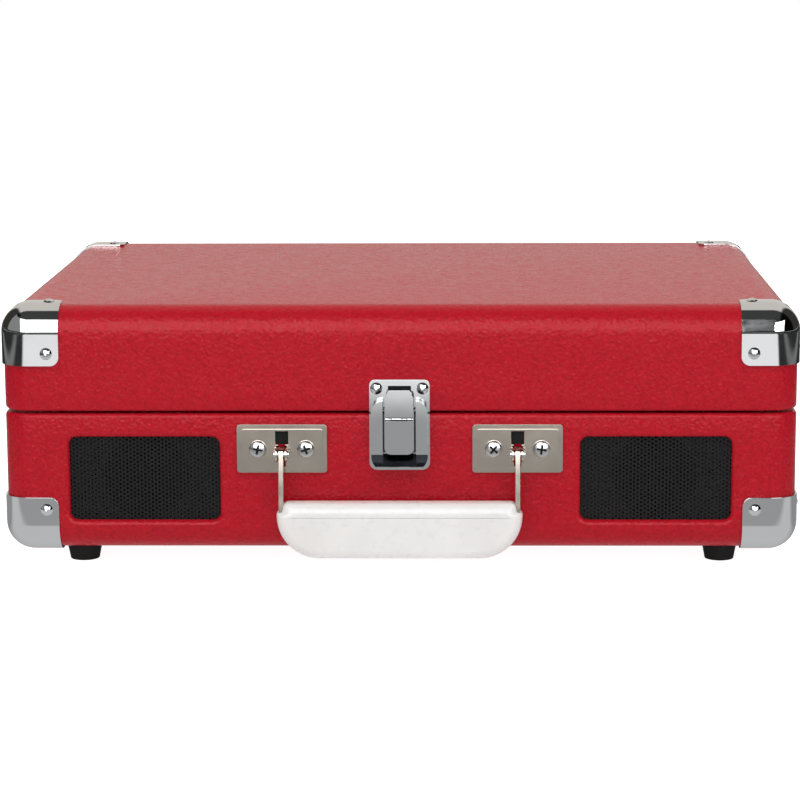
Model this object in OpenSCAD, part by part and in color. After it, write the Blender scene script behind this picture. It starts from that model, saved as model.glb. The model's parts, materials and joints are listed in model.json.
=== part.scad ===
// Suitcase record player, closed. Millimetres, +Z up, front towards -Y, floor at Z = 0.

/* [Case] */
// Width of the covered case
case_w = 353; // [345:1:360]
// Depth of the covered case
case_d = 256; // [252:1:262]
// Height of the base box
base_h = 62.8; // [62:0.2:64]
// Height of the lid
lid_h = 47; // [44:0.5:50]
// Radius of the case's outer edges
edge_r = 12; // [10:0.5:13]
// Thickness of the side walls
wall = 8; // [7:0.5:9]
// Thickness of the floor and of the lid's top
panel = 6; // [5:0.5:7]
// Gap between lid and base
seam_gap = 0.6; // [0.4:0.1:1]
// Height of the rubber feet
foot_h = 7.5; // [7:0.5:9]

/* [Corners] */
// Length of the legs of the lid's corner protectors
lid_leg = 26; // [24:0.5:27]
// How much shorter the lid's front protectors are on top, from front to back
lid_front_cut = 7.5; // [0:0.5:8]
// Length of the legs of the base's corner protectors
base_leg = 24.5; // [23:0.5:25]
// Sheet thickness of a corner protector
corner_t = 1; // [0.8:0.1:1.2]
// Distance of the rivets in the lid's protectors from the outer faces
lid_rivet_in = 20.5; // [19:0.5:21]
// Distance of the rivets in the base's protectors from the outer faces
base_rivet_in = 19; // [18:0.5:20]

/* [Speakers] */
// Width of a speaker window
window_w = 67; // [60:0.5:70]
// Height of a speaker window
window_h = 37.8; // [34:0.5:39]
// Distance of a window's middle from the case's middle
window_x = 113.6; // [112:0.1:116]
// Height of the windows' middle
window_z = 40.3; // [39:0.1:41]

/* [Handle] */
// Distance of a handle plate's middle from the case's middle
handle_x = 52.2; // [50:0.2:54]
// Height of the handle plates' middle
plate_z = 54.3; // [53:0.1:55]
// Height of the grip
grip_h = 25; // [24:0.5:28]
// Depth of the grip
grip_t = 13; // [11:0.5:13]

/* [Turntable] */
// Place of the spindle from the case's middle
spindle_x = -42; // [-46:1:-40]
// Radius of the platter
platter_r = 98; // [90:1:98]
// Radius of the belt ring
ring_r = 62; // [60:1:64]
// Distance from the spindle to the motor shaft
motor_reach = 82; // [80:1:84]
// Place of the arm pivot from the case's middle
arm_x = 122; // [120:1:124]
// Distance of the arm pivot behind the case's middle
arm_back = 88; // [86:1:90]
// Distance from the arm pivot to the stylus
arm_length = 198; // [194:1:199]

/* [Hidden] */

$fn = 48;
fit = 0.05;
clear = 0.3;
case_y = 3.5;
y_front = case_y - case_d/2;
y_back = case_y + case_d/2;
z_base = foot_h;
z_seam = foot_h + base_h;
z_rim = z_seam - seam_gap/2;
z_lid = z_seam + seam_gap/2;
z_top = z_seam + lid_h;
in_x = case_w/2 - wall;
in_front = y_front + wall;
in_back = y_back - wall;
deck_top = z_seam - 4.3;
deck_t = 4;
deck_low = deck_top - deck_t;
well_z = deck_top - 1.5;
foot_x = 143.8;
foot_in = 20;
head_r = 2.7;
head_h = 1.3;
shank_r = 1.1;
plate_w = 40;
plate_h = 21.6;
plate_t = 2;
screw_gap = 21.2;
pivot_y = y_front - 5.5;
pivot_z = 52.6;
grip_y = y_front - 8;
grip_w = 108.6;
grip_low = 6.7;
latch_y = y_front - 3.7;
latch_z = z_seam + 1.5;
knuckle_y = y_front - 6.9;
knuckle_r = 0.5;
knuckle_z = z_seam - 1.7;
hinge_x = 100;
hinge_y = y_back + 3.2;
hinge_r = 2.6;
barrel_w = 36;
spindle_r = 4;
pin_r = 3.55;
bush_r = spindle_r + fit;
ring_low = deck_top + 1.2;
ring_top = deck_top + 5;
mat_low = deck_top + 8.5;
mat_top = mat_low + 2;
motor_x = spindle_x + motor_reach*cos(140);
motor_y = case_y + motor_reach*sin(140);
pulley_r = 5;
arm_y = case_y + arm_back;
arm_z = deck_top + 20;
tube_r = 3.5;
rest_y = arm_y - 145;
stylus_y = arm_y - arm_length;
knob_x = 150;
knob_y = -60;
jack_y = -90;
led_y = -35;
adapter_x = -138;
adapter_y = case_y + 92;
switch_x = 62;
switch_y = 111;
stop_x = 25;
rca_x = -118;
rca_gap = 14;
dc_x = -90;
socket_z = 36;

module rod_x(r, len) rotate([0, 90, 0]) cylinder(r = r, h = len, center = true);
module rod_y(r, len) rotate([-90, 0, 0]) cylinder(r = r, h = len);
module block(lo, hi) translate(lo) cube(hi - lo);
module both() for (s = [-1, 1]) translate([s*handle_x, 0, 0]) children();

// Box with rounded upright and lower edges, standing on Z = 0, centred on X = Y = 0
module tub(w, d, h, r) {
  block([-w/2 + r, -d/2 + r, 0], [w/2 - r, d/2 - r, h]);
  block([-w/2 + r, -d/2, r], [w/2 - r, d/2, h]);
  block([-w/2, -d/2 + r, r], [w/2, d/2 - r, h]);
  for (sx = [-1, 1], sy = [-1, 1]) translate([sx*(w/2 - r), sy*(d/2 - r), r]) {
    cylinder(r = r, h = h - r);
    sphere(r = r);
  }
  for (s = [-1, 1]) {
    translate([0, s*(d/2 - r), r]) rod_x(r, w - 2*r);
    translate([s*(w/2 - r), -d/2 + r, r]) rod_y(r, d - 2*r);
  }
}

// Rounded solid corner whose outer faces lie on X, Y and Z = inset, seen from the case's corner
module corner_block(inset, len) {
  c = edge_r;
  r = edge_r - inset;
  translate([c, c, c]) sphere(r = r);
  translate([c, c, c]) cylinder(r = r, h = len - c);
  translate([c, c, c]) rod_y(r, len - c);
  translate([c + (len - c)/2, c, c]) rod_x(r, len - c);
  block([inset, c, c], [len, len, len]);
  block([c, inset, c], [len, len, len]);
  block([c, c, inset], [len, len, len]);
}

// Square outline with its free corner rounded
module leg_outline(leg) {
  r = 4;
  far = leg + corner_t;
  translate([-corner_t, -corner_t]) square([far, far - r]);
  translate([-corner_t, -corner_t]) square([far - r, far]);
  translate([leg - r, leg - r]) circle(r = r);
}

module leg_prism(leg) translate([0, 0, -corner_t]) linear_extrude(leg + 2*corner_t) leg_outline(leg);

// Places three rivets on the faces of one corner, heads outwards; to_corner sets $cut
module corner_rivet_places(in) {
  translate([in, in - $cut, -corner_t]) rotate([180, 0, 0]) children();
  translate([in, -corner_t, in]) rotate([90, 0, 0]) children();
  translate([-corner_t, in, in]) rotate([0, -90, 0]) children();
}

module corner_shell(leg, in) {
  color("silver") difference() {
    intersection() {
      corner_block(-corner_t, leg + 1);
      union() {
        translate([0, -$cut, 0]) leg_prism(leg);
        translate([0, 0, edge_r - 2]) leg_prism(leg);
      }
      multmatrix([[0, 0, 1, 0], [1, 0, 0, 0], [0, 1, 0, 0], [0, 0, 0, 1]]) leg_prism(leg);
      multmatrix([[0, 1, 0, 0], [0, 0, 1, 0], [1, 0, 0, 0], [0, 0, 0, 1]]) leg_prism(leg);
    }
    corner_block(-0.05, leg + 5);
    corner_rivet_places(in) translate([0, 0, -5]) cylinder(r = shank_r + fit, h = 7);
  }
}

// Moves a corner modelled at the origin to the case's corner: sx, sy pick the side, top picks the lid
module to_corner(sx, sy, top) {
  z = top ? z_top : z_base;
  $cut = top && sy < 0 ? lid_front_cut : 0;
  translate([sx*case_w/2, case_y + sy*case_d/2, z])
    mirror([sx > 0 ? 1 : 0, 0, 0]) mirror([0, sy > 0 ? 1 : 0, 0]) mirror([0, 0, top ? 1 : 0]) children();
}

module all_corners(top) for (sx = [-1, 1], sy = [-1, 1]) to_corner(sx, sy, top) children();

// Domed head with a shank below it, standing on Z = 0
module rivet() {
  ball = (head_r*head_r + head_h*head_h)/(2*head_h);
  intersection() {
    translate([0, 0, head_h - ball]) sphere(r = ball);
    cylinder(r = head_r, h = head_h);
  }
  translate([0, 0, -5]) cylinder(r = shank_r, h = 5.2);
}

// Pan head with a cross recess, head on Z = 0, pointing up
module pan_screw(r, len) {
  difference() {
    cylinder(r = r, h = 2.2);
    translate([0, 0, 1.9]) cube([1.4*r, 0.8, 2], center = true);
    translate([0, 0, 1.9]) cube([0.8, 1.4*r, 2], center = true);
  }
  translate([0, 0, -len]) cylinder(r = r/2.4, h = len + 0.2);
}

module window_cut(grow, y0, y1) block([-window_w/2 - grow, y0, window_z - window_h/2 - grow],
  [window_w/2 + grow, y1, window_z + window_h/2 + grow]);
module at_windows() for (s = [-1, 1]) translate([s*window_x, 0, 0]) children();
module at_feet() for (sx = [-1, 1], y = [y_front + foot_in, y_back - foot_in]) translate([sx*foot_x, y, 0]) children();
module at_deck_screws() for (sx = [-1, 1], y = [-100, 5, 105]) translate([sx*163, y, deck_top]) children();
module at_handle_screws() both() for (s = [-1, 1]) translate([s*screw_gap/2, y_front - plate_t, plate_z])
  rotate([90, 0, 0]) children();
module at_latch_rivets() for (z = [-6, -13]) translate([0, y_front - 1, z_seam + z]) rotate([90, 0, 0]) children();
module at_keeper_rivets() for (s = [-1, 1]) translate([s*10.2, y_front - 1, z_seam + 11]) rotate([90, 0, 0]) children();
module at_leaf_rivets(dz) for (sx = [-1, 1], s = [-1, 1])
  translate([sx*hinge_x + s*11, y_back + 1.2, z_seam + dz]) rotate([-90, 0, 0]) children();

module base_box() {
  color("firebrick") difference() {
    translate([0, case_y, z_base]) tub(case_w, case_d, z_rim - z_base, edge_r);
    block([-in_x, in_front, z_base + panel], [in_x, in_back, z_rim + 1]);
    at_windows() window_cut(0, y_front - 1, in_front + 1);
    at_windows() window_cut(2, y_front + 2.5, in_front + 1);
    at_feet() translate([0, 0, z_base - 1]) cylinder(r = 1.6 + fit, h = 5.5);
    at_handle_screws() translate([0, 0, -8]) cylinder(r = 1.63 + fit, h = 9);
    at_latch_rivets() translate([0, 0, -5.5]) cylinder(r = shank_r + fit, h = 6);
    at_leaf_rivets(-14) translate([0, 0, -5.5]) cylinder(r = shank_r + fit, h = 6);
    all_corners(false) corner_rivet_places(base_rivet_in) translate([0, 0, -5.5]) cylinder(r = shank_r + fit, h = 6);
    for (s = [0, 1]) translate([rca_x + s*rca_gap, in_back - 1, socket_z]) rod_y(3.5 + fit, wall + 2);
    translate([dc_x, in_back - 1, socket_z]) rod_y(5 + fit, wall + 2);
  }
}

module deck_plate() {
  color("dimgray") difference() {
    block([-in_x + 0.2, in_front + 0.2, deck_low], [in_x - 0.2, in_back - 0.2, deck_top]);
    translate([spindle_x, case_y, well_z]) cylinder(r = platter_r + 3, h = 3, $fn = 96);
    translate([spindle_x, case_y, deck_low - 1]) cylinder(r = 5 + fit, h = 6);
    translate([motor_x, motor_y, deck_low - 1]) cylinder(r = 7.5, h = 6);
    translate([arm_x, arm_y, deck_low - 1]) cylinder(r = 9 + fit, h = 6);
    translate([knob_x, knob_y, deck_low - 1]) cylinder(r = 3.3, h = 6);
    translate([knob_x, jack_y, deck_low - 1]) cylinder(r = 4 + fit, h = 6);
    translate([knob_x, led_y, deck_low - 1]) cylinder(r = 2.5 + fit, h = 6);
    for (s = [-1, 1]) translate([arm_x, arm_y - 26 + s*5, deck_low - 1]) cylinder(r = 1.6, h = 6);
    translate([adapter_x, adapter_y, well_z]) cylinder(r = 19.6, h = 3);
    block([switch_x - 9, switch_y - 2, deck_low - 1], [switch_x + 9, switch_y + 2, deck_top + 1]);
    block([stop_x - 7, switch_y - 2, deck_low - 1], [stop_x + 7, switch_y + 2, deck_top + 1]);
    block([arm_x + 22.5, arm_y - 4, deck_low - 1], [arm_x + 29.5, arm_y + 12, deck_top + 1]);
    at_deck_screws() translate([0, 0, -5]) cylinder(r = 1.34 + fit, h = 6);
  }
  color("dimgray") translate([adapter_x, adapter_y, well_z]) cylinder(r = 3.4, h = 5.5);
}

module deck_cleats() {
  color("burlywood") difference() {
    union() {
      for (s = [-1, 1]) block([s > 0 ? in_x - 10 : -in_x, in_front, deck_low - 12], [s > 0 ? in_x : 10 - in_x, in_back, deck_low]);
      block([10 - in_x + 0.1, in_back - 10, deck_low - 12], [in_x - 10.1, in_back, deck_low]);
    }
    at_deck_screws() translate([0, 0, -14]) cylinder(r = 1.34 + fit, h = 11);
  }
}

module case_screws() {
  color("silver") {
    at_deck_screws() pan_screw(3.2, 12);
    at_feet() translate([0, 0, 3]) rotate([180, 0, 0]) pan_screw(3.84, 8.5);
  }
}

module spindle() {
  color("gainsboro") translate([spindle_x, case_y, 0]) {
    rotate_extrude() polygon([[0, deck_low - 6], [5, deck_low - 6], [5, well_z], [8, well_z], [8, well_z + 1.8],
      [spindle_r, well_z + 2], [spindle_r, mat_top + 0.1], [pin_r, mat_top + 0.1], [pin_r, mat_top + 6.5],
      [2, mat_top + 8.6], [0, mat_top + 9]]);
    translate([0, 0, deck_low - 4]) cylinder(r = 9, h = 4, $fn = 6);
  }
}

module motor() {
  color("silver") translate([motor_x, motor_y, 0]) difference() {
    union() {
      translate([0, 0, 40]) cylinder(r = 16, h = 18);
      block([-23, -8, 58], [23, 8, 59.5]);
    }
    translate([0, 0, 42]) cylinder(r = 1 + fit, h = 20);
    translate([0, 0, 44.5]) cylinder(r = 12.6, h = 11);
    for (s = [-1, 1]) translate([s*19, 0, 50]) cylinder(r = 1.5 + fit, h = 12);
  }
}

module motor_mounts() {
  color("black") translate([motor_x, motor_y, 0]) for (s = [-1, 1]) translate([s*19, 0, 0]) {
    translate([0, 0, 59.5]) cylinder(r = 4, h = deck_low - 59.5);
    translate([0, 0, 56.5]) cylinder(r = 1.5, h = 3.2);
    translate([0, 0, 55.5]) cylinder(r = 3, h = 2.5);
  }
}

module speaker() {
  color("dimgray") difference() {
    union() {
      block([-40, in_front, window_z - 21.4], [40, in_front + 2, window_z + 21.4]);
      translate([0, in_front + 2, window_z]) rotate([-90, 0, 0]) cylinder(r1 = 21, r2 = 13, h = 12);
      translate([0, in_front + 14, window_z]) rod_y(14, 9);
    }
    translate([0, in_front - 1, window_z]) rod_y(19 + fit, 3);
    translate([0, in_front + 1.99, window_z]) rotate([-90, 0, 0]) cylinder(r1 = 19 + fit, r2 = 7, h = 12);
  }
}

module speaker_cone() {
  color("black") translate([0, in_front, window_z]) rotate([-90, 0, 0]) rotate_extrude()
    polygon([[0, 3], [5, 4], [16, 0.5], [19, 0.5], [19, 1.5], [16, 1.8], [6, 8], [0, 8]]);
}

module grille() {
  color("black") {
    block([-window_w/2 - 1.9, y_front + 2.5, window_z - window_h/2 - 1.9],
      [window_w/2 + 1.9, y_front + 3.3, window_z + window_h/2 + 1.9]);
  }
}

module feet() {
  color("black") at_feet() difference() {
    cylinder(r1 = 6.5, r2 = 8, h = foot_h);
    translate([0, 0, -1]) cylinder(r = 4.2, h = 4);
    translate([0, 0, 2]) cylinder(r = 1.6 + fit, h = 6);
  }
}

module base_corner(sx, sy) to_corner(sx, sy, false) corner_shell(base_leg, base_rivet_in);
module lid_corner(sx, sy) to_corner(sx, sy, true) corner_shell(lid_leg, lid_rivet_in);

module base_rivets() {
  color("silver") {
    all_corners(false) corner_rivet_places(base_rivet_in) rivet();
    at_latch_rivets() rivet();
    at_leaf_rivets(-14) rivet();
  }
}

module lid_rivets() {
  color("silver") {
    all_corners(true) corner_rivet_places(lid_rivet_in) rivet();
    at_keeper_rivets() rivet();
    at_leaf_rivets(14) rivet();
  }
}

// Outline with four rounded corners, centred
module rounded_square(w, h, r) {
  square([w - 2*r, h], center = true);
  square([w, h - 2*r], center = true);
  for (sx = [-1, 1], sy = [-1, 1]) translate([sx*(w/2 - r), sy*(h/2 - r)]) circle(r = r);
}

// Sheet of an outline drawn in X and Z, standing t proud towards the front
module front_sheet(t) rotate([90, 0, 0]) linear_extrude(t) children();

module handle_plate() {
  ear_gap = 2.6;
  color("gainsboro") difference() {
    union() {
      translate([0, y_front, plate_z]) front_sheet(1.2) rounded_square(plate_w, plate_h, 1.5);
      translate([0, y_front, plate_z]) front_sheet(plate_t) rounded_square(plate_w - 4, plate_h - 4, 1);
      for (s = [-1, 1]) {
        translate([s*(ear_gap - 0.5), pivot_y, pivot_z]) rod_x(3.4, 1);
        block([s*(ear_gap - 0.5) - 0.5, pivot_y, pivot_z - 3.4], [s*(ear_gap - 0.5) + 0.5, y_front - 0.5, pivot_z + 3.4]);
      }
    }
    block([-1.6, y_front - 2.5, plate_z - 8], [1.6, y_front + 1, plate_z + 8]);
    block([-2.9, y_front - 2.5, pivot_z + 3.6], [2.9, y_front + 1, plate_z + 8]);
    translate([0, pivot_y, pivot_z]) rod_x(1 + fit, 10);
    for (s = [-1, 1]) translate([s*screw_gap/2, y_front - 3, plate_z]) rod_y(1.63 + fit, 5);
  }
}

module handle_screws() color("silver") at_handle_screws() pan_screw(3.9, 8);

module handle_pins() {
  color("silver") both() translate([0, pivot_y, pivot_z]) {
    rod_x(1, 6.6);
    for (s = [-1, 1]) translate([s*3, 0, 0]) rod_x(1.6, 0.7);
  }
}

module handle_grip() {
  corner = 19;
  slot_w = 2.8;
  color("white") difference() {
    translate([0, grip_y + grip_t/2, grip_low]) rotate([90, 0, 0]) linear_extrude(grip_t) union() {
      translate([-grip_w/2, corner]) square([grip_w, grip_h - corner - 4.4]);
      translate([-grip_w/2 + 2.3, corner]) square([grip_w - 4.6, grip_h - corner]);
      translate([-grip_w/2 + corner, 0]) square([grip_w - 2*corner, grip_h]);
      for (s = [-1, 1]) intersection() {
        translate([s*(grip_w/2 - corner), corner]) circle(r = corner);
        translate([-grip_w/2, 0]) square([grip_w, corner]);
      }
    }
    both() block([-slot_w/2, grip_y - 3.6, grip_low + 13.5], [slot_w/2, grip_y + 3.6, grip_low + grip_h + 1]);
  }
}

module handle_straps() {
  t = 2.2;
  color("silver") both() difference() {
    translate([-t/2, 0, 0]) multmatrix([[0, 0, 1, 0], [1, 0, 0, 0], [0, 1, 0, 0], [0, 0, 0, 1]]) linear_extrude(t) union() {
      translate([pivot_y, pivot_z]) circle(r = 3.4);
      polygon([[pivot_y - 3.4, pivot_z], [grip_y - 3.4, grip_low + grip_h], [grip_y - 3.4, grip_low + 15],
        [grip_y + 3.4, grip_low + 15], [grip_y + 3.4, grip_low + grip_h], [pivot_y + 3.4, pivot_z]]);
    }
    translate([0, pivot_y, pivot_z]) rod_x(1 + 2*fit, 10);
  }
}

module latch_base() {
  rail_in = 7.3;
  rail_out = 12.5;
  z0 = z_seam - 24.4;
  color("silver") difference() {
    union() {
      intersection() {
        block([-13.4, y_front - 1, z_seam - 25.6], [13.4, y_front, z_seam - 0.4]);
        translate([0, y_front, z_seam - 5.6]) front_sheet(2) rounded_square(26.8, 40, 3.5);
      }
      intersection() {
        side_plate(0, 2*rail_out) polygon([[y_front - 0.5, z0], [y_front - 1.8, z0], [y_front - 6.2, z_seam - 23.4],
          [y_front - 2.2, z_seam - 18], [y_front - 7, z_seam - 17.6], [y_front - 7, z_seam + 6.2],
          [y_front - 1.5, z_seam + 6.2], [y_front - 1.5, z_seam - 0.4], [y_front - 0.5, z_seam - 0.4]]);
        translate([0, y_front, (z0 + z_seam + 6.2)/2]) front_sheet(8) rounded_square(2*rail_out, z_seam + 6.2 - z0, 5.2);
      }
    }
    block([-rail_in, y_front - 9, z_seam - 18], [rail_in, y_front - 1, z_seam + 8]);
    at_latch_rivets() translate([0, 0, -3]) cylinder(r = shank_r + fit, h = 4);
  }
  color("silver") translate([0, latch_y, latch_z]) rod_x(0.8, 2*rail_out - 2);
}

// Side profile in Y and Z, given thickness along X
module side_plate(x, t) translate([x - t/2, 0, 0])
  multmatrix([[0, 0, 1, 0], [1, 0, 0, 0], [0, 1, 0, 0], [0, 0, 0, 1]]) linear_extrude(t) children();

module latch_lever() {
  low = z_seam - 17.5;
  face = y_front - 7.5;
  color("silver") difference() {
    union() {
      block([-6.5, face, low + 3], [6.5, face + 1, knuckle_z - 0.75]);
      block([-3.5, face, low], [3.5, face + 1, low + 3.5]);
      for (s = [-1, 1]) translate([s*3.5, face, low + 3]) rod_y(3, 1);
      for (s = [-1, 1]) {
        side_plate(s*6, 1) polygon([[face + 0.5, low + 4], [face + 0.5, knuckle_z - 0.75],
          [latch_y - 1.5, latch_z + 0.5], [latch_y + 1.5, latch_z - 0.5], [latch_y + 1, low + 4]]);
        translate([s*6, latch_y, latch_z]) rod_x(1.6, 1);
        translate([s*4.9, knuckle_y, knuckle_z]) rod_x(knuckle_r, 2.6);
        block([s*4.9 - 1.3, face + 0.4, knuckle_z - 0.9], [s*4.9 + 1.3, face + 0.95, knuckle_z]);
      }
    }
    translate([0, latch_y, latch_z]) rod_x(0.8 + fit, 22);
  }
  color("silver") translate([0, knuckle_y, knuckle_z]) rod_x(0.25, 11);
}

module latch_link() {
  face = y_front - 7.5;
  top = z_seam + 11.1;
  color("silver") difference() {
    union() {
      translate([0, face + 1, 0]) front_sheet(1) polygon([[-6.3, knuckle_z + 0.75], [6.3, knuckle_z + 0.75],
        [6.3, top - 3.4], [4.7, top], [-4.7, top], [-6.3, top - 3.4]]);
      block([-4.5, face + 0.5, top - 1.9], [4.5, y_front - 2, top - 0.9]);
      block([-3.3, face + 0.4, knuckle_z], [3.3, face + 0.95, knuckle_z + 0.9]);
      translate([0, knuckle_y, knuckle_z]) rod_x(knuckle_r, 6.6);
    }
    translate([0, knuckle_y, knuckle_z]) rod_x(0.25 + fit, 8);
  }
}

module latch_keeper() {
  color("silver") difference() {
    union() {
      block([-13.4, y_front - 1, z_seam + 0.4], [13.4, y_front, z_seam + 12.4]);
      block([-10.9, y_front - 1, z_seam + 12], [10.9, y_front, z_seam + 14.9]);
      for (s = [-1, 1]) translate([s*10.9, y_front - 1, z_seam + 12.4]) rod_y(2.5, 1);
      side_plate(0, 10.7) polygon([[y_front - 0.5, z_seam + 2], [y_front - 4.5, z_seam + 4.5], [y_front - 5.2, z_seam + 8.9],
        [y_front - 0.5, z_seam + 8.9]]);
    }
    at_keeper_rivets() translate([0, 0, -3]) cylinder(r = shank_r + fit, h = 4);
    block([-5, y_front - 2, z_seam + 9.3], [5, y_front + 0.5, z_seam + 12.1]);
  }
}

module at_hinges() for (s = [-1, 1]) translate([s*hinge_x, 0, 0]) children();

module leaf(up) {
  s = up ? 1 : -1;
  z1 = z_seam + s*3.3;
  z2 = z_seam + s*22;
  block([-barrel_w/2, y_back, min(z1, z2)], [barrel_w/2, y_back + 1.2, max(z1, z2)]);
}

module knuckle(x0, x1, up) {
  translate([(x0 + x1)/2, hinge_y, z_seam]) rod_x(hinge_r, x1 - x0);
  block([x0, y_back + 0.6, up ? z_seam + 0.4 : z_seam - 4], [x1, hinge_y, up ? z_seam + 4 : z_seam - 0.4]);
}

module hinge_base_leaves() {
  color("silver") difference() {
    at_hinges() {
      leaf(false);
      knuckle(-barrel_w/2, -6, false);
      knuckle(6, barrel_w/2, false);
    }
    at_hinges() translate([0, hinge_y, z_seam]) rod_x(1.5 + fit, 50);
    at_leaf_rivets(-14) translate([0, 0, -3]) cylinder(r = shank_r + fit, h = 4);
  }
}

module hinge_lid_leaves() {
  color("silver") difference() {
    at_hinges() {
      leaf(true);
      knuckle(-5.7, 5.7, true);
    }
    at_hinges() translate([0, hinge_y, z_seam]) rod_x(1.5 + fit, 50);
    at_leaf_rivets(14) translate([0, 0, -3]) cylinder(r = shank_r + fit, h = 4);
  }
}

module hinge_pins() color("silver") at_hinges() translate([0, hinge_y, z_seam]) rod_x(1.5, barrel_w + 1);

module main_board() {
  color("darkgreen") {
    block([134, -102, 50], [157, -20, 51.6]);
    block([143, -67, 51.6], [157, -53, 59]);
    block([137, -45, 51.6], [147, -25, 56]);
  }
}

module rca_jacks() {
  color("gold") for (s = [0, 1]) translate([rca_x + s*rca_gap, 0, socket_z]) difference() {
    union() {
      translate([0, in_back - 1, 0]) rod_y(3.5, wall + 3.5);
      translate([0, in_back - 7, 0]) rod_y(5.5, 7);
      translate([0, y_back, 0]) rod_y(6, 1.2);
      translate([0, y_back + 2, 0]) rod_y(4.15, 6);
    }
    translate([0, in_back + 1, 0]) rod_y(1.6, wall + 9);
  }
}

module dc_jack() {
  color("black") translate([dc_x, 0, socket_z]) {
    difference() {
      union() {
        translate([0, in_back - 8, 0]) rod_y(5, wall + 8);
        translate([0, y_back, 0]) rod_y(6.5, 1);
        translate([0, in_back - 8, 0]) rod_y(6.5, 8);
      }
      translate([0, y_back - 9, 0]) rod_y(2.75, 12);
    }
    translate([0, y_back - 9.5, 0]) rod_y(1, 9);
  }
}

module headphone_jack() {
  color("silver") translate([knob_x, jack_y, 0]) difference() {
    union() {
      translate([0, 0, deck_low - 9]) cylinder(r = 4, h = deck_t + 10.5);
      translate([0, 0, deck_low - 10]) cylinder(r = 5, h = 10);
      translate([0, 0, deck_top]) cylinder(r = 5.5, h = 1.5);
    }
    translate([0, 0, deck_top - 12]) cylinder(r = 1.8, h = 15);
  }
}

module led_lens() {
  color("red") translate([knob_x, led_y, 0]) {
    translate([0, 0, deck_low - 2]) cylinder(r = 2.5, h = deck_t + 2);
    translate([0, 0, deck_top]) intersection() {
      sphere(r = 2.5);
      cylinder(r = 3, h = 3);
    }
  }
}

module tonearm_base() {
  color("black") translate([arm_x, arm_y, 0]) difference() {
    union() {
      translate([0, 0, deck_top]) cylinder(r = 18, h = 3);
      translate([0, 0, deck_low - 3]) cylinder(r = 9, h = deck_t + 5);
      translate([0, 0, deck_top]) cylinder(r = 11, h = 9);
      block([17, -6, deck_top], [21.5, 6, deck_top + 3]);
      translate([20.25, 4, deck_top + 3]) rod_x(3, 2.5);
      block([19, 1, deck_top], [21.5, 7, deck_top + 3]);
      block([-4, -34, deck_top], [4, -12, deck_top + 3]);
    }
    translate([0, 0, deck_low - 4]) cylinder(r = 4 + fit, h = 30);
    translate([24, 4, deck_top + 3]) rod_x(1 + fit, 20);
    for (s = [-1, 1]) translate([0, -26 + s*5, deck_low - 1]) cylinder(r = 1.2 + fit, h = 12);
  }
}

module tonearm_rest() {
  color("black") translate([arm_x, rest_y, 0]) {
    translate([0, 0, deck_top]) cylinder(r = 8, h = 2);
    translate([0, 0, deck_top]) cylinder(r = 3.5, h = 12);
    block([-6, -5, deck_top + 11], [9, 5, arm_z - tube_r - clear]);
    difference() {
      block([tube_r + 0.8, -5, deck_top + 11], [9, 5, arm_z + 6]);
      block([tube_r, -3.2, arm_z + 1.5], [10, 3.2, arm_z + 7]);
    }
    translate([6.5, -5, arm_z + 4.2]) rod_y(0.8, 10);
  }
}

module rest_clip() {
  t = 1.6;
  color("black") translate([arm_x + 6.5, rest_y, arm_z + 4.2]) rotate([0, 75, 0]) difference() {
    union() {
      rotate([-90, 0, 0]) translate([0, 0, -3]) cylinder(r = 1.9, h = 6);
      block([-13, -3, 0.2], [0, 3, 0.2 + t]);
      block([-13, -3, -5], [-13 + t, 3, 0.2 + t]);
    }
    translate([0, -4, 0]) rod_y(0.8 + fit, 8);
  }
}

module cue_lever() {
  color("black") translate([arm_x, arm_y, 0]) {
    translate([24.5, 4, deck_top + 3]) rod_x(2.6, 3.6);
    translate([22, 4, deck_top + 3]) rod_x(1, 5);
    side_plate(24.8, 3) polygon([[2, deck_top + 3], [-14, deck_top + 10], [-15, deck_top + 12.5], [-12, deck_top + 13], [5, deck_top + 5.5]]);
  }
}

module cue_platform() {
  low = arm_z - tube_r - 2.2;
  color("black") translate([arm_x, arm_y, 0]) {
    translate([0, 0, low]) rotate([0, 0, -140]) rotate_extrude(angle = 62) translate([24.5, 0]) square([4, 1.8]);
    for (s = [-1, 1]) translate([0, -26 + s*5, deck_low]) cylinder(r = 1.2, h = low - deck_low - 1);
    block([-2.2, -33, low - 1.5], [2.2, -19, low]);
    block([-2.2, -28, low - 0.5], [2.2, -24.5, low + 0.2]);
  }
}

module tonearm_yoke() {
  color("black") translate([arm_x, arm_y, 0]) difference() {
    union() {
      translate([0, 0, deck_low - 2]) cylinder(r = 4, h = 16);
      translate([0, 0, deck_top + 9.3]) cylinder(r = 10, h = 2.6);
      for (s = [-1, 1]) block([s*8 - 1.2, -5, deck_top + 11], [s*8 + 1.2, 5, arm_z + 4]);
    }
    translate([0, 0, arm_z]) rod_x(1 + fit, 30);
  }
}

module tonearm_tube() {
  color("silver") translate([arm_x, arm_y, arm_z]) {
    rotate([90, 0, 0]) cylinder(r = tube_r, h = 178);
    block([-6.4, -9, -5], [6.4, 9, 5]);
    rod_x(1, 19);
    rod_y(2.5, 14);
    translate([0, 13, 0]) rod_y(8, 15);
  }
}

module cartridge() {
  color("black") translate([arm_x, stylus_y, arm_z]) difference() {
    union() {
      block([-8.5, -6, 0.5], [8.5, 17.7, 4.5]);
      block([-8.5, 3, -2], [8.5, 19.9, 4.5]);
      block([-6.5, -4, -5], [6.5, 12, 1]);
      block([8, -6, 0.5], [18, -3, 2]);
    }
    translate([0, 10, 0]) rod_y(tube_r, 12);
  }
}

module stylus() {
  color("crimson") translate([arm_x, stylus_y, arm_z]) {
    block([-4, -3.5, -6.8], [4, 9, -5]);
    translate([0, 0, -7.9]) cylinder(r1 = 0.2, r2 = 0.8, h = 1.3);
  }
}

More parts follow.
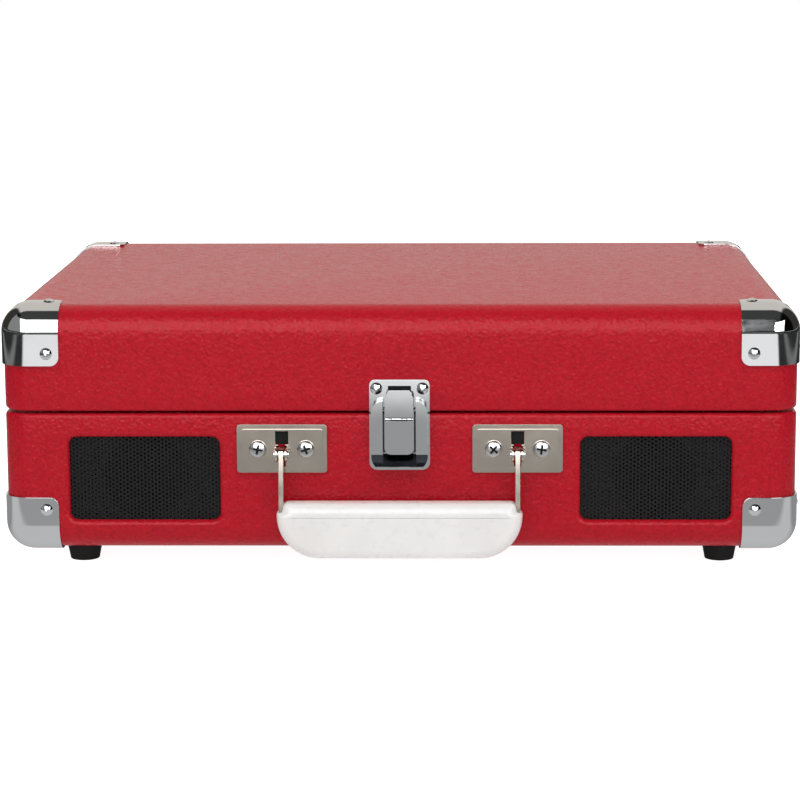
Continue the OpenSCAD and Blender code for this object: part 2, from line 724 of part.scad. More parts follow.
module platter() {
  r = platter_r;
  color("black") translate([spindle_x, case_y, 0]) rotate_extrude($fn = 96) polygon([
    [bush_r, ring_low + 1], [8, ring_low + 1], [8, ring_top], [ring_r - 3, ring_top], [ring_r - 3, ring_low],
    [ring_r, ring_low], [ring_r, ring_top], [r - 1.2, ring_top], [r, ring_top + 1.2], [r, mat_top - 1.4],
    [r - 0.6, mat_top - 0.6], [r - 2.5, mat_top - 0.6], [r - 2.5, mat_low], [bush_r, mat_low]]);
}

module platter_mat() {
  color("black") translate([spindle_x, case_y, mat_low]) difference() {
    cylinder(r = platter_r - 3, h = mat_top - mat_low, $fn = 96);
    translate([0, 0, -1]) cylinder(r = 4.4, h = 5);
  }
}

module motor_pulley() {
  color("gold") translate([motor_x, motor_y, 0]) {
    translate([0, 0, 42.5]) cylinder(r = 1, h = ring_low - 42);
    translate([0, 0, 45]) cylinder(r = 12, h = 10);
    translate([0, 0, ring_low]) cylinder(r = pulley_r, h = 3.4);
  }
}

// Flat outline round the ring and the pulley, grown by g
module belt_outline(g) {
  a = acos((ring_r - pulley_r)/motor_reach);
  circle(r = ring_r + g, $fn = 96);
  translate([motor_reach, 0]) circle(r = pulley_r + g);
  polygon([
    [(ring_r + g)*cos(a), (ring_r + g)*sin(a)], [(ring_r + g)*cos(a), -(ring_r + g)*sin(a)],
    [motor_reach + (pulley_r + g)*cos(a), -(pulley_r + g)*sin(a)],
    [motor_reach + (pulley_r + g)*cos(a), (pulley_r + g)*sin(a)]]);
}

module drive_belt() {
  color("black") translate([spindle_x, case_y, ring_low + 0.3]) rotate([0, 0, 140]) linear_extrude(2.8) difference() {
    belt_outline(1);
    belt_outline(clear);
  }
}

module volume_knob() {
  color("black") translate([knob_x, knob_y, 0]) {
    translate([0, 0, deck_low - 2.5]) cylinder(r = 3, h = 8);
    difference() {
      translate([0, 0, deck_top + clear]) cylinder(r1 = 11, r2 = 10, h = 11);
      translate([0, 0, deck_top + 11]) translate([-0.6, 3, 0]) cube([1.2, 8, 3]);
    }
  }
}

module slider() {
  block([-1.5, -1.4, deck_low - 1], [1.5, 1.4, deck_top + 1]);
  block([-4, -3, deck_top + clear], [4, 3, deck_top + 4]);
}

module speed_switch() color("black") translate([switch_x, switch_y, 0]) slider();
module autostop_switch() color("black") translate([stop_x - 2.5, switch_y, 0]) slider();

module adapter_45() {
  color("gainsboro") translate([adapter_x, adapter_y, well_z + 0.1]) rotate_extrude() polygon([
    [3.6, 0], [19.05, 0], [19.05, 3], [18, 4], [10, 5], [3.6, 5]]);
}

module lid_shell() {
  color("firebrick") difference() {
    translate([0, case_y, z_top]) mirror([0, 0, 1]) tub(case_w, case_d, z_top - z_lid, edge_r);
    block([-in_x, in_front, z_lid - 1], [in_x, in_back, z_top - panel]);
    at_keeper_rivets() translate([0, 0, -5.5]) cylinder(r = shank_r + fit, h = 6);
    at_leaf_rivets(14) translate([0, 0, -5.5]) cylinder(r = shank_r + fit, h = 6);
    all_corners(true) corner_rivet_places(lid_rivet_in) translate([0, 0, -5.5]) cylinder(r = shank_r + fit, h = 6);
  }
}

base_box();
deck_plate();
deck_cleats();
case_screws();
spindle();
motor();
motor_mounts();
translate([-window_x, 0, 0]) speaker();  // speaker_left
translate([window_x, 0, 0]) speaker();  // speaker_right
translate([-window_x, 0, 0]) speaker_cone();  // cone_left
translate([window_x, 0, 0]) speaker_cone();  // cone_right
translate([-window_x, 0, 0]) grille();  // grille_left
translate([window_x, 0, 0]) grille();  // grille_right
feet();
base_corner(-1, -1);  // base_corner_fl
base_corner(1, -1);  // base_corner_fr
base_corner(-1, 1);  // base_corner_bl
base_corner(1, 1);  // base_corner_br
base_rivets();
translate([-handle_x, 0, 0]) handle_plate();  // handle_plate_left
translate([handle_x, 0, 0]) handle_plate();  // handle_plate_right
handle_screws();
handle_pins();
latch_base();
hinge_base_leaves();
hinge_pins();
main_board();
rca_jacks();
dc_jack();
headphone_jack();
tonearm_base();
tonearm_rest();
led_lens();
drive_belt();
platter();
platter_mat();
motor_pulley();
tonearm_yoke();
tonearm_tube();
cartridge();
stylus();
rest_clip();
cue_lever();
cue_platform();
volume_knob();
speed_switch();
autostop_switch();
handle_grip();
handle_straps();
latch_lever();
latch_link();
adapter_45();
lid_shell();
lid_corner(-1, -1);  // lid_corner_fl
lid_corner(1, -1);  // lid_corner_fr
lid_corner(-1, 1);  // lid_corner_bl
lid_corner(1, 1);  // lid_corner_br
lid_rivets();
latch_keeper();
hinge_lid_leaves();
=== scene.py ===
"""Looks of the suitcase record player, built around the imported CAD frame."""
import json
import math

import bmesh
import bpy
from mathutils import Matrix, Vector


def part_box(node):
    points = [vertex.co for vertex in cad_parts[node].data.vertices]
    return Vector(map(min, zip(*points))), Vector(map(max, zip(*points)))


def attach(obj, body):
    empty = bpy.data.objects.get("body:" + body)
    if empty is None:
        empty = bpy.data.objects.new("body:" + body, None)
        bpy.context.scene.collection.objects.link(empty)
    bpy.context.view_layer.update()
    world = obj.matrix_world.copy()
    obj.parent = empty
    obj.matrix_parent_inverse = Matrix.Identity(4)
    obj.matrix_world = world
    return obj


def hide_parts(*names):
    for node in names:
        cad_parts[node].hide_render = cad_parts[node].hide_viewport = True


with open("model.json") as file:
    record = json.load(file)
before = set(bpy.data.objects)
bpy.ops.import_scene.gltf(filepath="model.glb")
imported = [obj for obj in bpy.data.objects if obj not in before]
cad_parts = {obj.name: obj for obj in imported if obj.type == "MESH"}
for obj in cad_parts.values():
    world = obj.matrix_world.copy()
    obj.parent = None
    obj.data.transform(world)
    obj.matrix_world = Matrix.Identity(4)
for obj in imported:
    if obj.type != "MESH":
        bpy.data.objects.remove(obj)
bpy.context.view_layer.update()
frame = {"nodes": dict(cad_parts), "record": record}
MM = 0.001


# ---------- sizes, from the frame where it holds them ----------
def lo_hi(node):
    low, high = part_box(node)
    return Vector(low), Vector(high)


base_lo, base_hi = lo_hi("base_box")
lid_lo, lid_hi = lo_hi("lid_shell")
grille_lo, grille_hi = lo_hi("grille_left")
Y_FRONT = base_lo.y
Y_BACK = base_hi.y
Y_MID = (Y_FRONT + Y_BACK) / 2
CASE_W = base_hi.x - base_lo.x
CASE_D = Y_BACK - Y_FRONT
EDGE_R = 12 * MM
RIM_R = 1.8 * MM
SEAM = 0.2 * MM  # what each half stays back from the seam
WALL = 8 * MM
PANEL = 6 * MM
GRILLE_BORDER = 3.8 * MM  # what the base hides of the grille's width and height
WINDOW_W = grille_hi.x - grille_lo.x - GRILLE_BORDER
WINDOW_H = grille_hi.z - grille_lo.z - GRILLE_BORDER
WINDOW_LIP = 2 * MM
WINDOW_R = 3.5 * MM
WINDOW_DEPTH = WALL - 0.3 * MM


# ---------- camera, floor and light ----------
def add_camera():
    """The camera, with its place, lens and angles fitted to the case's edges in the photo."""
    cam = bpy.data.cameras.new("camera")
    cam.lens = 121.5
    cam.sensor_width = 36
    cam.shift_x = -0.0323
    obj = bpy.data.objects.new("camera", cam)
    bpy.context.scene.collection.objects.link(obj)
    right_of_middle = 32.8 * MM
    in_front = 1.1747
    up = 0.282
    obj.location = (right_of_middle, Y_FRONT - in_front, up)
    pitch = 0.1736
    yaw = 0.018
    roll = -0.0036
    turn = Matrix.Rotation(yaw, 4, "Z") @ Matrix.Rotation(math.pi / 2 - pitch, 4, "X")
    obj.matrix_world = Matrix.Translation(obj.location) @ turn @ Matrix.Rotation(roll, 4, "Z")
    bpy.context.scene.camera = obj


def add_light(name, place, aim, width, height, power):
    """A soft area light that neither the camera nor a reflection sees."""
    light = bpy.data.lights.new(name, "AREA")
    light.energy = power
    light.shape = "RECTANGLE"
    light.size = width
    light.size_y = height
    obj = bpy.data.objects.new(name, light)
    bpy.context.scene.collection.objects.link(obj)
    obj.location = place
    obj.rotation_euler = (Vector(aim) - Vector(place)).to_track_quat("-Z", "Y").to_euler()
    obj.visible_camera = False
    obj.visible_glossy = False


class Graph:
    """Short calls for the number nodes of one node tree."""

    def __init__(self, tree):
        self.nodes = tree.nodes
        self.links = tree.links

    def put(self, value, socket):
        if isinstance(value, (int, float)):
            socket.default_value = value
        else:
            self.links.new(value, socket)

    def math(self, kind, *values):
        node = self.nodes.new("ShaderNodeMath")
        node.operation = kind
        for value, socket in zip(values, node.inputs):
            self.put(value, socket)
        return node.outputs[0]

    def step(self, value, at, soft, low, high):
        """A smooth change from low to high round one place."""
        node = self.nodes.new("ShaderNodeMapRange")
        node.interpolation_type = "SMOOTHSTEP"
        for number, socket in zip((value, at - soft, at + soft, low, high), node.inputs):
            self.put(number, socket)
        return node.outputs[0]

    def mix(self, factor, a, b):
        """a where the factor is 0, b where it is 1."""
        spread = self.math("SUBTRACT", b, a)
        return self.math("MULTIPLY_ADD", spread, factor, a)


def add_world():
    """White for the eye, soft light all round, and a room with bright walls for reflections.

    x, y and z are the parts of a ray's direction, so each edge of the room is a number from -1 to 1.
    """
    world = bpy.data.worlds.new("studio")
    bpy.context.scene.world = world
    world.use_nodes = True
    g = Graph(world.node_tree)
    rays = g.nodes.new("ShaderNodeLightPath").outputs
    parts = g.nodes.new("ShaderNodeSeparateXYZ")
    g.links.new(g.nodes.new("ShaderNodeTexCoord").outputs["Generated"], parts.inputs[0])
    x, y, z = parts.outputs
    side = g.math("ABSOLUTE", x)
    behind = g.step(y, 0.06, 0.05, 0.0, 1.0)
    bright = 4.2
    ceiling = 0.05
    back_wall = 0.64

    # A bright front wall up to the ceiling, which stops short of the right-hand corner.
    wall = g.step(z, 0.05, 0.02, 0.05, bright)
    wall = g.math("MULTIPLY", wall, g.step(x, 0.0935, 0.002, 1.0, 0.01))
    front = g.mix(g.step(z, 0.766, 0.02, 0.0, 1.0), wall, ceiling)
    room = g.mix(behind, front, back_wall)
    room = g.math("MULTIPLY", room, g.step(side, 0.5, 0.06, 1.0, 0.06))

    # One window to the right of the wall, seen only in the right-hand corner and in round heads.
    window = bright
    window_edges = [
        (x, 0.14, 0.01, 0.0, 1.0),
        (x, 0.72, 0.02, 1.0, 0.0),
        (z, 0.05, 0.02, 0.0, 1.0),
        (z, 0.6, 0.02, 1.0, 0.0),
        (y, -0.1, 0.05, 1.0, 0.0),
    ]
    for part, at, width, low, high in window_edges:
        window = g.math("MULTIPLY", g.step(part, at, width, low, high), window)
    room = g.math("ADD", room, window)

    # Everything that isn't a reflection gets soft light, weaker from the sides.
    soft = g.step(side, 0.68, 0.3, 0.57, 0.12)
    other = g.mix(rays["Is Glossy Ray"], soft, room)
    shown = g.mix(rays["Is Camera Ray"], other, 1.0)
    warm = g.math("MULTIPLY", rays["Is Glossy Ray"], behind)
    tint = g.nodes.new("ShaderNodeCombineColor")
    for warm_part, socket in zip((1.0, 0.95, 0.88), tint.inputs):
        g.put(g.mix(warm, 1.0, warm_part), socket)
    g.put(tint.outputs[0], g.nodes["Background"].inputs["Color"])
    g.put(shown, g.nodes["Background"].inputs["Strength"])


def flat_sheet(name, half, z, color):
    """A square sheet of the stage with a matt surface that can also glow."""
    mesh = bpy.data.meshes.new(name)
    corners = [(-half, -half, z), (half, -half, z), (half, half, z), (-half, half, z)]
    mesh.from_pydata(corners, [], [(0, 1, 2, 3)])
    sheet = bpy.data.objects.new(name, mesh)
    bpy.context.scene.collection.objects.link(sheet)
    mat = bpy.data.materials.new(name)
    mat.use_nodes = True
    shader = mat.node_tree.nodes["Principled BSDF"]
    shader.inputs["Base Color"].default_value = (*color, 1)
    shader.inputs["Roughness"].default_value = 1.0
    shader.inputs["Specular IOR Level"].default_value = 0.0
    shader.inputs["Emission Color"].default_value = (1, 1, 1, 1)
    mesh.materials.append(mat)
    return sheet, Graph(mat.node_tree), shader


def add_floor():
    """A pale floor that glows a little, and more for the camera, so that it looks as white as the photo's."""
    g, shader = flat_sheet("floor", 6, 0, (0.85, 0.85, 0.85))[1:]
    seen = g.nodes.new("ShaderNodeLightPath").outputs["Is Camera Ray"]
    glow = 0.2
    extra_for_camera = 0.75
    g.put(g.math("MULTIPLY_ADD", seen, extra_for_camera, glow), shader.inputs["Emission Strength"])


def add_card():
    """What shiny parts see of the floor: darker under the case, as painted shade of the case on the floor,
    grey near it, then pale, and dark at the sides and far off.

    Only reflections see it. Its tone is the strength of its glow, by the distance from the case.
    """
    card, g, shader = flat_sheet("card", 4, 0.3 * MM, (0, 0, 0))
    parts = g.nodes.new("ShaderNodeSeparateXYZ")
    g.links.new(g.nodes.new("ShaderNodeTexCoord").outputs["Object"], parts.inputs[0])
    x, y = parts.outputs[:2]
    away = g.math("SUBTRACT", g.math("ABSOLUTE", g.math("SUBTRACT", y, Y_MID)), CASE_D / 2)
    side = g.math("ABSOLUTE", x)
    under, close, near, pale, far = 0.3, 0.56, 0.35, 0.92, 0.05
    tone = g.mix(g.step(away, 0.07, 0.02, 0.0, 1.0), close, near)
    tone = g.mix(g.step(away, 0.44, 0.07, 0.0, 1.0), tone, pale)
    tone = g.mix(g.step(away, 0.9, 0.06, 0.0, 1.0), tone, far)
    # Painted shade: the glow is weaker under the case, in place of its shadow on the floor.
    tone = g.mix(g.step(away, -0.02, 0.02, 0.0, 1.0), under, tone)
    dark, lit = 0.03, 0.2
    stripe = g.mix(g.step(side, 0.7, 0.03, 0.0, 1.0), dark, lit)
    stripe = g.mix(g.step(side, 0.79, 0.03, 0.0, 1.0), stripe, dark)
    tone = g.mix(g.step(side, 0.43, 0.04, 0.0, 1.0), tone, stripe)
    g.put(tone, shader.inputs["Emission Strength"])
    for ray in ("camera", "diffuse", "shadow", "transmission"):
        setattr(card, "visible_" + ray, False)


def add_stage():
    add_world()
    add_floor()
    add_card()
    bpy.context.scene.view_settings.view_transform = "Standard"
    middle = (0, Y_MID, 0.06)
    add_light("front_softbox", (0, -0.82, 1.26), middle, 2.2, 1.0, 13)
    add_light("back_softbox", (0, 1.6, 1.5), middle, 2.2, 0.9, 7)


# ---------- material helpers ----------
class Mat:
    """A Principled material with short calls for its texture nodes, in object space metres."""

    def __init__(self, name, color, rough, metal=0.0, **fixed):
        self.mat = bpy.data.materials.new(name)
        self.mat.use_nodes = True
        self.nodes = self.mat.node_tree.nodes
        self.links = self.mat.node_tree.links
        self.shader = self.nodes["Principled BSDF"]
        self.shader.inputs["Base Color"].default_value = (*color, 1)
        self.shader.inputs["Roughness"].default_value = rough
        self.shader.inputs["Metallic"].default_value = metal
        for key, value in fixed.items():
            self.shader.inputs[key.replace("_", " ")].default_value = value
        self.coords = self.nodes.new("ShaderNodeTexCoord").outputs["Object"]
        self.normal = None

    def mapped(self, scale):
        node = self.nodes.new("ShaderNodeMapping")
        node.inputs["Scale"].default_value = scale
        self.links.new(self.coords, node.inputs["Vector"])
        return node.outputs["Vector"]

    def noise(self, scale, detail=2.0, stretch=None):
        node = self.nodes.new("ShaderNodeTexNoise")
        node.inputs["Scale"].default_value = scale
        node.inputs["Detail"].default_value = detail
        self.links.new(self.mapped(stretch) if stretch else self.coords, node.inputs["Vector"])
        return node.outputs["Fac"]

    def cells(self, scale):
        node = self.nodes.new("ShaderNodeTexVoronoi")
        node.feature = "SMOOTH_F1"
        node.inputs["Scale"].default_value = scale
        self.links.new(self.coords, node.inputs["Vector"])
        return node.outputs["Distance"]

    def ramp(self, value, stops):
        node = self.nodes.new("ShaderNodeValToRGB")
        while len(node.color_ramp.elements) < len(stops):
            node.color_ramp.elements.new(0.5)
        for element, (place, color) in zip(node.color_ramp.elements, stops):
            element.position = place
            element.color = (*color, 1) if isinstance(color, tuple) else (color, color, color, 1)
        self.links.new(value, node.inputs["Fac"])
        return node.outputs["Color"]

    def color(self, value, stops):
        """Colours between the stops by a value from 0 to 1."""
        self.links.new(self.ramp(value, stops), self.shader.inputs["Base Color"])

    def rough(self, value, low, high):
        """Roughness between low and high by a value from 0 to 1."""
        self.links.new(self.ramp(value, [(0.3, low), (0.7, high)]), self.shader.inputs["Roughness"])

    def bump(self, value, strength, distance):
        """Adds one layer of relief on top of the layers before it."""
        node = self.nodes.new("ShaderNodeBump")
        node.inputs["Strength"].default_value = strength
        node.inputs["Distance"].default_value = distance
        self.links.new(value, node.inputs["Height"])
        if self.normal:
            self.links.new(self.normal, node.inputs["Normal"])
        self.normal = node.outputs["Normal"]
        self.links.new(self.normal, self.shader.inputs["Normal"])


def leatherette(name, tone, rough=0.24, sheen=0.03):
    """Pebbled vinyl: a net of fine creases, with a faint cloudy change of tone."""
    m = Mat(name, tone, rough, Sheen_Weight=sheen, Sheen_Roughness=0.4)
    m.shader.inputs["Specular IOR Level"].default_value = 0.2
    dark = tuple(c * 0.82 for c in tone)
    light = tuple(c * 1.11 for c in tone)
    m.color(m.noise(800, 4), [(0.3, dark), (0.5, tone), (0.7, light)])
    m.rough(m.noise(260, 4), rough - 0.05, rough + 0.06)
    m.bump(m.noise(35, 3), 0.1, 0.3 * MM)
    m.bump(m.cells(650), 0.65, 0.3 * MM)
    m.bump(m.noise(780, 4), 0.6, 0.26 * MM)
    return m.mat


def plated(name, color, rough, spread, waves=0.05):
    """Metal with a faint change of gloss, long shallow waves and a fine grain."""
    m = Mat(name, color, rough, 1.0)
    m.rough(m.noise(90, 5), rough - spread, rough + spread)
    m.bump(m.noise(45, 2), waves, 0.4 * MM)
    m.bump(m.noise(1500, 2), 0.04, 0.02 * MM)
    return m.mat


def plastic(name, color, rough, grain=0.1, coat=0.0, level=0.5, cloud=0.1):
    """Moulded plastic with a cloudy tone and a fine grain."""
    m = Mat(name, color, rough, Coat_Weight=coat, Coat_Roughness=0.12, Specular_IOR_Level=level)
    dark = tuple(c * (1 - cloud) for c in color)
    light = tuple(min(1, c * 1.05 + 0.001) for c in color)
    m.color(m.noise(55, 4), [(0.3, dark), (0.7, light)])
    m.rough(m.noise(300, 4), rough - 0.05, rough + 0.05)
    m.bump(m.noise(1400, 2), grain, 0.05 * MM)
    return m.mat


def felt():
    m = Mat("mat_felt", (0.02, 0.02, 0.022), 0.95, Sheen_Weight=0.5, Sheen_Roughness=0.5)
    m.color(m.noise(700, 6), [(0.3, (0.008, 0.008, 0.009)), (0.7, (0.04, 0.04, 0.043))])
    m.bump(m.noise(1600, 4), 0.6, 0.25 * MM)
    return m.mat


def wood():
    m = Mat("pine_wood", (0.6, 0.42, 0.24), 0.7)
    m.color(m.noise(60, 6, (0.08, 1, 1)), [(0.3, (0.38, 0.24, 0.12)), (0.7, (0.66, 0.48, 0.29))])
    m.bump(m.noise(240, 5, (0.08, 1, 1)), 0.3, 0.2 * MM)
    return m.mat


MATS = {
    "red_leatherette": leatherette("red_leatherette", (0.47, 0.005, 0.016)),
    "deck_vinyl": leatherette("deck_vinyl", (0.018, 0.018, 0.019), 0.55),
    "lining": leatherette("lining", (0.03, 0.03, 0.032), 0.7, 0.2),
    "chrome_steel": plated("chrome_steel", (0.8, 0.81, 0.82), 0.05, 0.03),
    "nickel_steel": plated("nickel_steel", (0.68, 0.61, 0.53), 0.16, 0.05),
    # A dark copy of the steel, used only as painted shade and a dimmed reflection on the latch.
    "painted_shade_steel": plated("painted_shade_steel", (0.09, 0.095, 0.11), 0.16, 0.05, 0.2),
    "zinc_steel": plated("zinc_steel", (0.66, 0.66, 0.67), 0.27, 0.08),
    "arm_aluminium": plated("arm_aluminium", (0.75, 0.76, 0.77), 0.3, 0.06),
    "brass_gold": plated("brass_gold", (0.82, 0.6, 0.24), 0.2, 0.06),
    "white_plastic": plastic("white_plastic", (0.88, 0.875, 0.86), 0.3, 0.02, 0.3, 0.4, 0.03),
    "black_plastic": plastic("black_plastic", (0.014, 0.014, 0.015), 0.5, 0.5, 0.0, 0.25),
    "black_rubber": plastic("black_rubber", (0.01, 0.01, 0.01), 0.75, 0.5, 0.0, 0.2),
    "black_mesh": plastic("black_mesh", (0.011, 0.0105, 0.011), 0.45, 0.2, 0.0, 0.15),
    "black_basket": plastic("black_basket", (0.03, 0.03, 0.03), 0.6, 0.3),
    "cone_paper": plastic("cone_paper", (0.012, 0.012, 0.012), 0.9, 0.8),
    "board_green": plastic("board_green", (0.02, 0.14, 0.05), 0.4, 0.2),
    "red_plastic": plastic("red_plastic", (0.5, 0.02, 0.02), 0.25, 0.05, 0.3),
    "grey_plastic": plastic("grey_plastic", (0.4, 0.4, 0.41), 0.45, 0.3),
    "mat_felt": felt(),
    "pine_wood": wood(),
}
SLOT_OF = {s["node"]: s["material_slot"] for s in frame["record"]["subparts"]}
BODY_OF = {n: b for b, nodes in frame["record"]["behaviour"]["bodies"].items() for n in nodes}


# ---------- mesh helpers ----------
def new_piece(name, bm, body, mats, replaced=(), smooth=35):
    """A visible piece made from a bmesh, with its body and the CAD nodes it stands for."""
    bmesh.ops.recalc_face_normals(bm, faces=bm.faces)
    mesh = bpy.data.meshes.new(name)
    bm.to_mesh(mesh)
    bm.free()
    for mat in mats:
        mesh.materials.append(MATS[mat])
    piece = bpy.data.objects.new(name, mesh)
    bpy.context.scene.collection.objects.link(piece)
    shade(piece, smooth)
    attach(piece, body)
    if replaced:
        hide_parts(*replaced)
    return piece


def shade(piece, angle):
    """Smooth shading, with sharp edges from this angle in degrees."""
    mesh = piece.data
    mesh.shade_smooth()
    mesh.set_sharp_from_angle(angle=math.radians(angle))


def apply_modifier(piece, kind, **settings):
    mod = piece.modifiers.new(kind.lower(), kind)
    for key, value in settings.items():
        setattr(mod, key, value)
    deps = bpy.context.evaluated_depsgraph_get()
    mesh = bpy.data.meshes.new_from_object(piece.evaluated_get(deps))
    piece.modifiers.clear()
    piece.data = mesh


def softened(node, width):
    """A copy of a CAD node with its sharp edges rounded, which replaces it."""
    sharp = math.radians(28)
    flat = math.radians(1.5)
    bm = bmesh.new()
    bm.from_mesh(frame["nodes"][node].data)
    bm.transform(frame["nodes"][node].matrix_world)
    bmesh.ops.remove_doubles(bm, verts=bm.verts, dist=0.004 * MM)
    bmesh.ops.dissolve_limit(bm, angle_limit=flat, verts=bm.verts, edges=bm.edges)
    edges = [e for e in bm.edges if len(e.link_faces) == 2 and e.calc_face_angle(0) > sharp]
    bmesh.ops.bevel(bm, geom=edges, offset=width, segments=2, profile=0.5, affect="EDGES",
                    clamp_overlap=True)
    piece = new_piece("soft_" + node, bm, BODY_OF[node], [SLOT_OF[node]], [node], 50)
    apply_modifier(piece, "WEIGHTED_NORMAL", keep_sharp=True, weight=100)
    return piece


def carve(piece, bm):
    """Takes the closed shape out of a piece."""
    bmesh.ops.recalc_face_normals(bm, faces=bm.faces)
    mesh = bpy.data.meshes.new("cutter")
    bm.to_mesh(mesh)
    bm.free()
    cutter = bpy.data.objects.new("cutter", mesh)
    bpy.context.scene.collection.objects.link(cutter)
    apply_modifier(piece, "BOOLEAN", object=cutter, operation="DIFFERENCE", solver="EXACT")
    bpy.data.objects.remove(cutter)


def quarter(steps):
    """Sine and cosine at even steps through a quarter turn."""
    angles = [math.pi / 2 * k / steps for k in range(steps + 1)]
    return [(math.sin(a), math.cos(a)) for a in angles]


def ring_points(cx, cy, hx, hy, r):
    """Points round a rounded rectangle, the same count for any size."""
    steps = 8
    straight = 6
    points = []
    in_x = hx - r
    in_y = hy - r
    corners = [(in_x, -in_y, -90), (in_x, in_y, 0), (-in_x, in_y, 90), (-in_x, -in_y, 180)]
    for i, (x, y, start) in enumerate(corners):
        for k in range(steps + 1):
            a = math.radians(start + 90 * k / steps)
            points.append((cx + x + r * math.cos(a), cy + y + r * math.sin(a)))
        nx, ny, nstart = corners[(i + 1) % 4]
        a = math.radians(nstart)
        x1, y1 = points[-1]
        x2, y2 = cx + nx + r * math.cos(a), cy + ny + r * math.sin(a)
        for k in range(1, straight):
            points.append((x1 + (x2 - x1) * k / straight, y1 + (y2 - y1) * k / straight))
    return points


def loft(bm, rings, cap_first=True, cap_last=True):
    """Joins rings of points with quads and returns the faces made for each step."""
    verts = [[bm.verts.new(p) for p in ring] for ring in rings]
    count = len(verts[0])
    pairs = [(i, (i + 1) % count) for i in range(count)]
    bands = []
    for a, b in zip(verts, verts[1:]):
        bands.append([bm.faces.new((a[i], a[n], b[n], b[i])) for i, n in pairs])
    if cap_first:
        bands.append([bm.faces.new(verts[0][::-1])])
    if cap_last:
        bands.append([bm.faces.new(verts[-1])])
    return bands


# ---------- case ----------
def case_profile(height):
    """Pairs of inset and height from the closed face round to the rim, and then those of the lining."""
    rim = height - RIM_R
    outer = [(EDGE_R * (1 - s), EDGE_R * (1 - c)) for s, c in quarter(10)]
    outer += [(0, EDGE_R + (rim - EDGE_R) * k / 5) for k in range(1, 6)]
    outer += [(RIM_R * (1 - c), rim + RIM_R * s) for s, c in quarter(5)[1:]]
    outer += [(WALL - RIM_R + RIM_R * s, rim + RIM_R * c) for s, c in quarter(4)]
    inner = [(WALL, height - 3 * MM), (WALL, PANEL)]
    return outer, inner


def case_half(name, node, body, low, high, upward):
    """The base or the lid: a closed rounded shell with a rolled rim, and a lining inside."""
    height = high - low
    outer, inner = case_profile(height)
    bm = bmesh.new()
    rings = []
    for inset, z in outer + inner:
        r = max(EDGE_R - inset, 0.4 * MM)
        zz = low + z if upward else high - z
        ring = ring_points(0, Y_MID, CASE_W / 2 - inset, CASE_D / 2 - inset, r)
        rings.append([(x, y, zz) for x, y in ring])
    bands = loft(bm, rings)
    lining_bands = [bands[len(outer)], bands[-1]]
    for band in lining_bands:
        for face in band:
            face.material_index = 1
    return new_piece(name, bm, body, ["red_leatherette", "lining"], [node], 50)


def window_rings():
    """Pairs of growth and depth for the rolled lip of a speaker window."""
    rings = [(WINDOW_LIP * (1 - s), WINDOW_LIP * (1 - c)) for s, c in quarter(6)]
    rings.append((0, WINDOW_DEPTH))
    return rings


def cut_windows(shell, centres):
    """Cuts the speaker windows out of the base and gives each a rolled lip."""
    past = 2 * MM
    half_w = WINDOW_W / 2
    half_h = WINDOW_H / 2
    for i, (x, z) in enumerate(centres):
        hole = ring_points(x, z, half_w + WINDOW_LIP, half_h + WINDOW_LIP, WINDOW_R + WINDOW_LIP)
        bm = bmesh.new()
        loft(bm, [[(a, Y_FRONT + d, b) for a, b in hole] for d in (-past, WALL + past)])
        carve(shell, bm)
        bm = bmesh.new()
        rings = []
        for grow, depth in window_rings():
            ring = ring_points(x, z, half_w + grow, half_h + grow, WINDOW_R + grow)
            rings.append([(a, Y_FRONT + depth, b) for a, b in ring])
        rings.append([(a, Y_FRONT + WINDOW_DEPTH, b) for a, b in hole])
        loft(bm, rings, False, False)
        bmesh.ops.remove_doubles(bm, verts=bm.verts, dist=0.001 * MM)
        new_piece("window_lip_%d" % i, bm, "case", ["red_leatherette"])
    shade(shell, 50)


def mesh_grille(node, name):
    """Perforated sheet: a net of hexagons, each with a round hole, that ends behind the window's lip."""
    low, high = lo_hi(node)
    cx = (low.x + high.x) / 2
    cz = (low.z + high.z) / 2
    pitch = 1.83 * MM
    hole = 0.56 * MM
    half_w = WINDOW_W / 2 + 1 * MM
    half_h = WINDOW_H / 2 + 1 * MM
    root3 = math.sqrt(3)
    cols = int(half_w / (pitch * root3 / 2)) + 1
    rows = int(half_h / pitch) + 1
    bm = bmesh.new()
    y = low.y + 0.05 * MM
    outer_r = pitch / root3
    for c in range(-cols, cols + 1):
        for r in range(-rows, rows + 1):
            x = cx + c * pitch * root3 / 2
            z = cz + (r + (0.5 if c % 2 else 0)) * pitch
            if abs(x - cx) > half_w or abs(z - cz) > half_h:
                continue
            ring_a = []
            ring_b = []
            for k in range(12):
                a = math.radians(30 * k)
                reach = outer_r if k % 2 == 0 else outer_r * math.cos(math.radians(30))
                ring_a.append(bm.verts.new((x + reach * math.cos(a), y, z + reach * math.sin(a))))
                ring_b.append(bm.verts.new((x + hole * math.cos(a), y, z + hole * math.sin(a))))
            for k in range(12):
                n = (k + 1) % 12
                bm.faces.new((ring_a[k], ring_a[n], ring_b[n], ring_b[k]))
    bmesh.ops.remove_doubles(bm, verts=bm.verts, dist=0.02 * MM)
    bmesh.ops.recalc_face_normals(bm, faces=bm.faces)
    thick = 0.6 * MM
    made = bmesh.ops.extrude_face_region(bm, geom=bm.faces[:])
    moved = [v for v in made["geom"] if isinstance(v, bmesh.types.BMVert)]
    bmesh.ops.translate(bm, verts=moved, vec=(0, thick, 0))
    new_piece(name, bm, "case", ["black_mesh"], [node], 30)


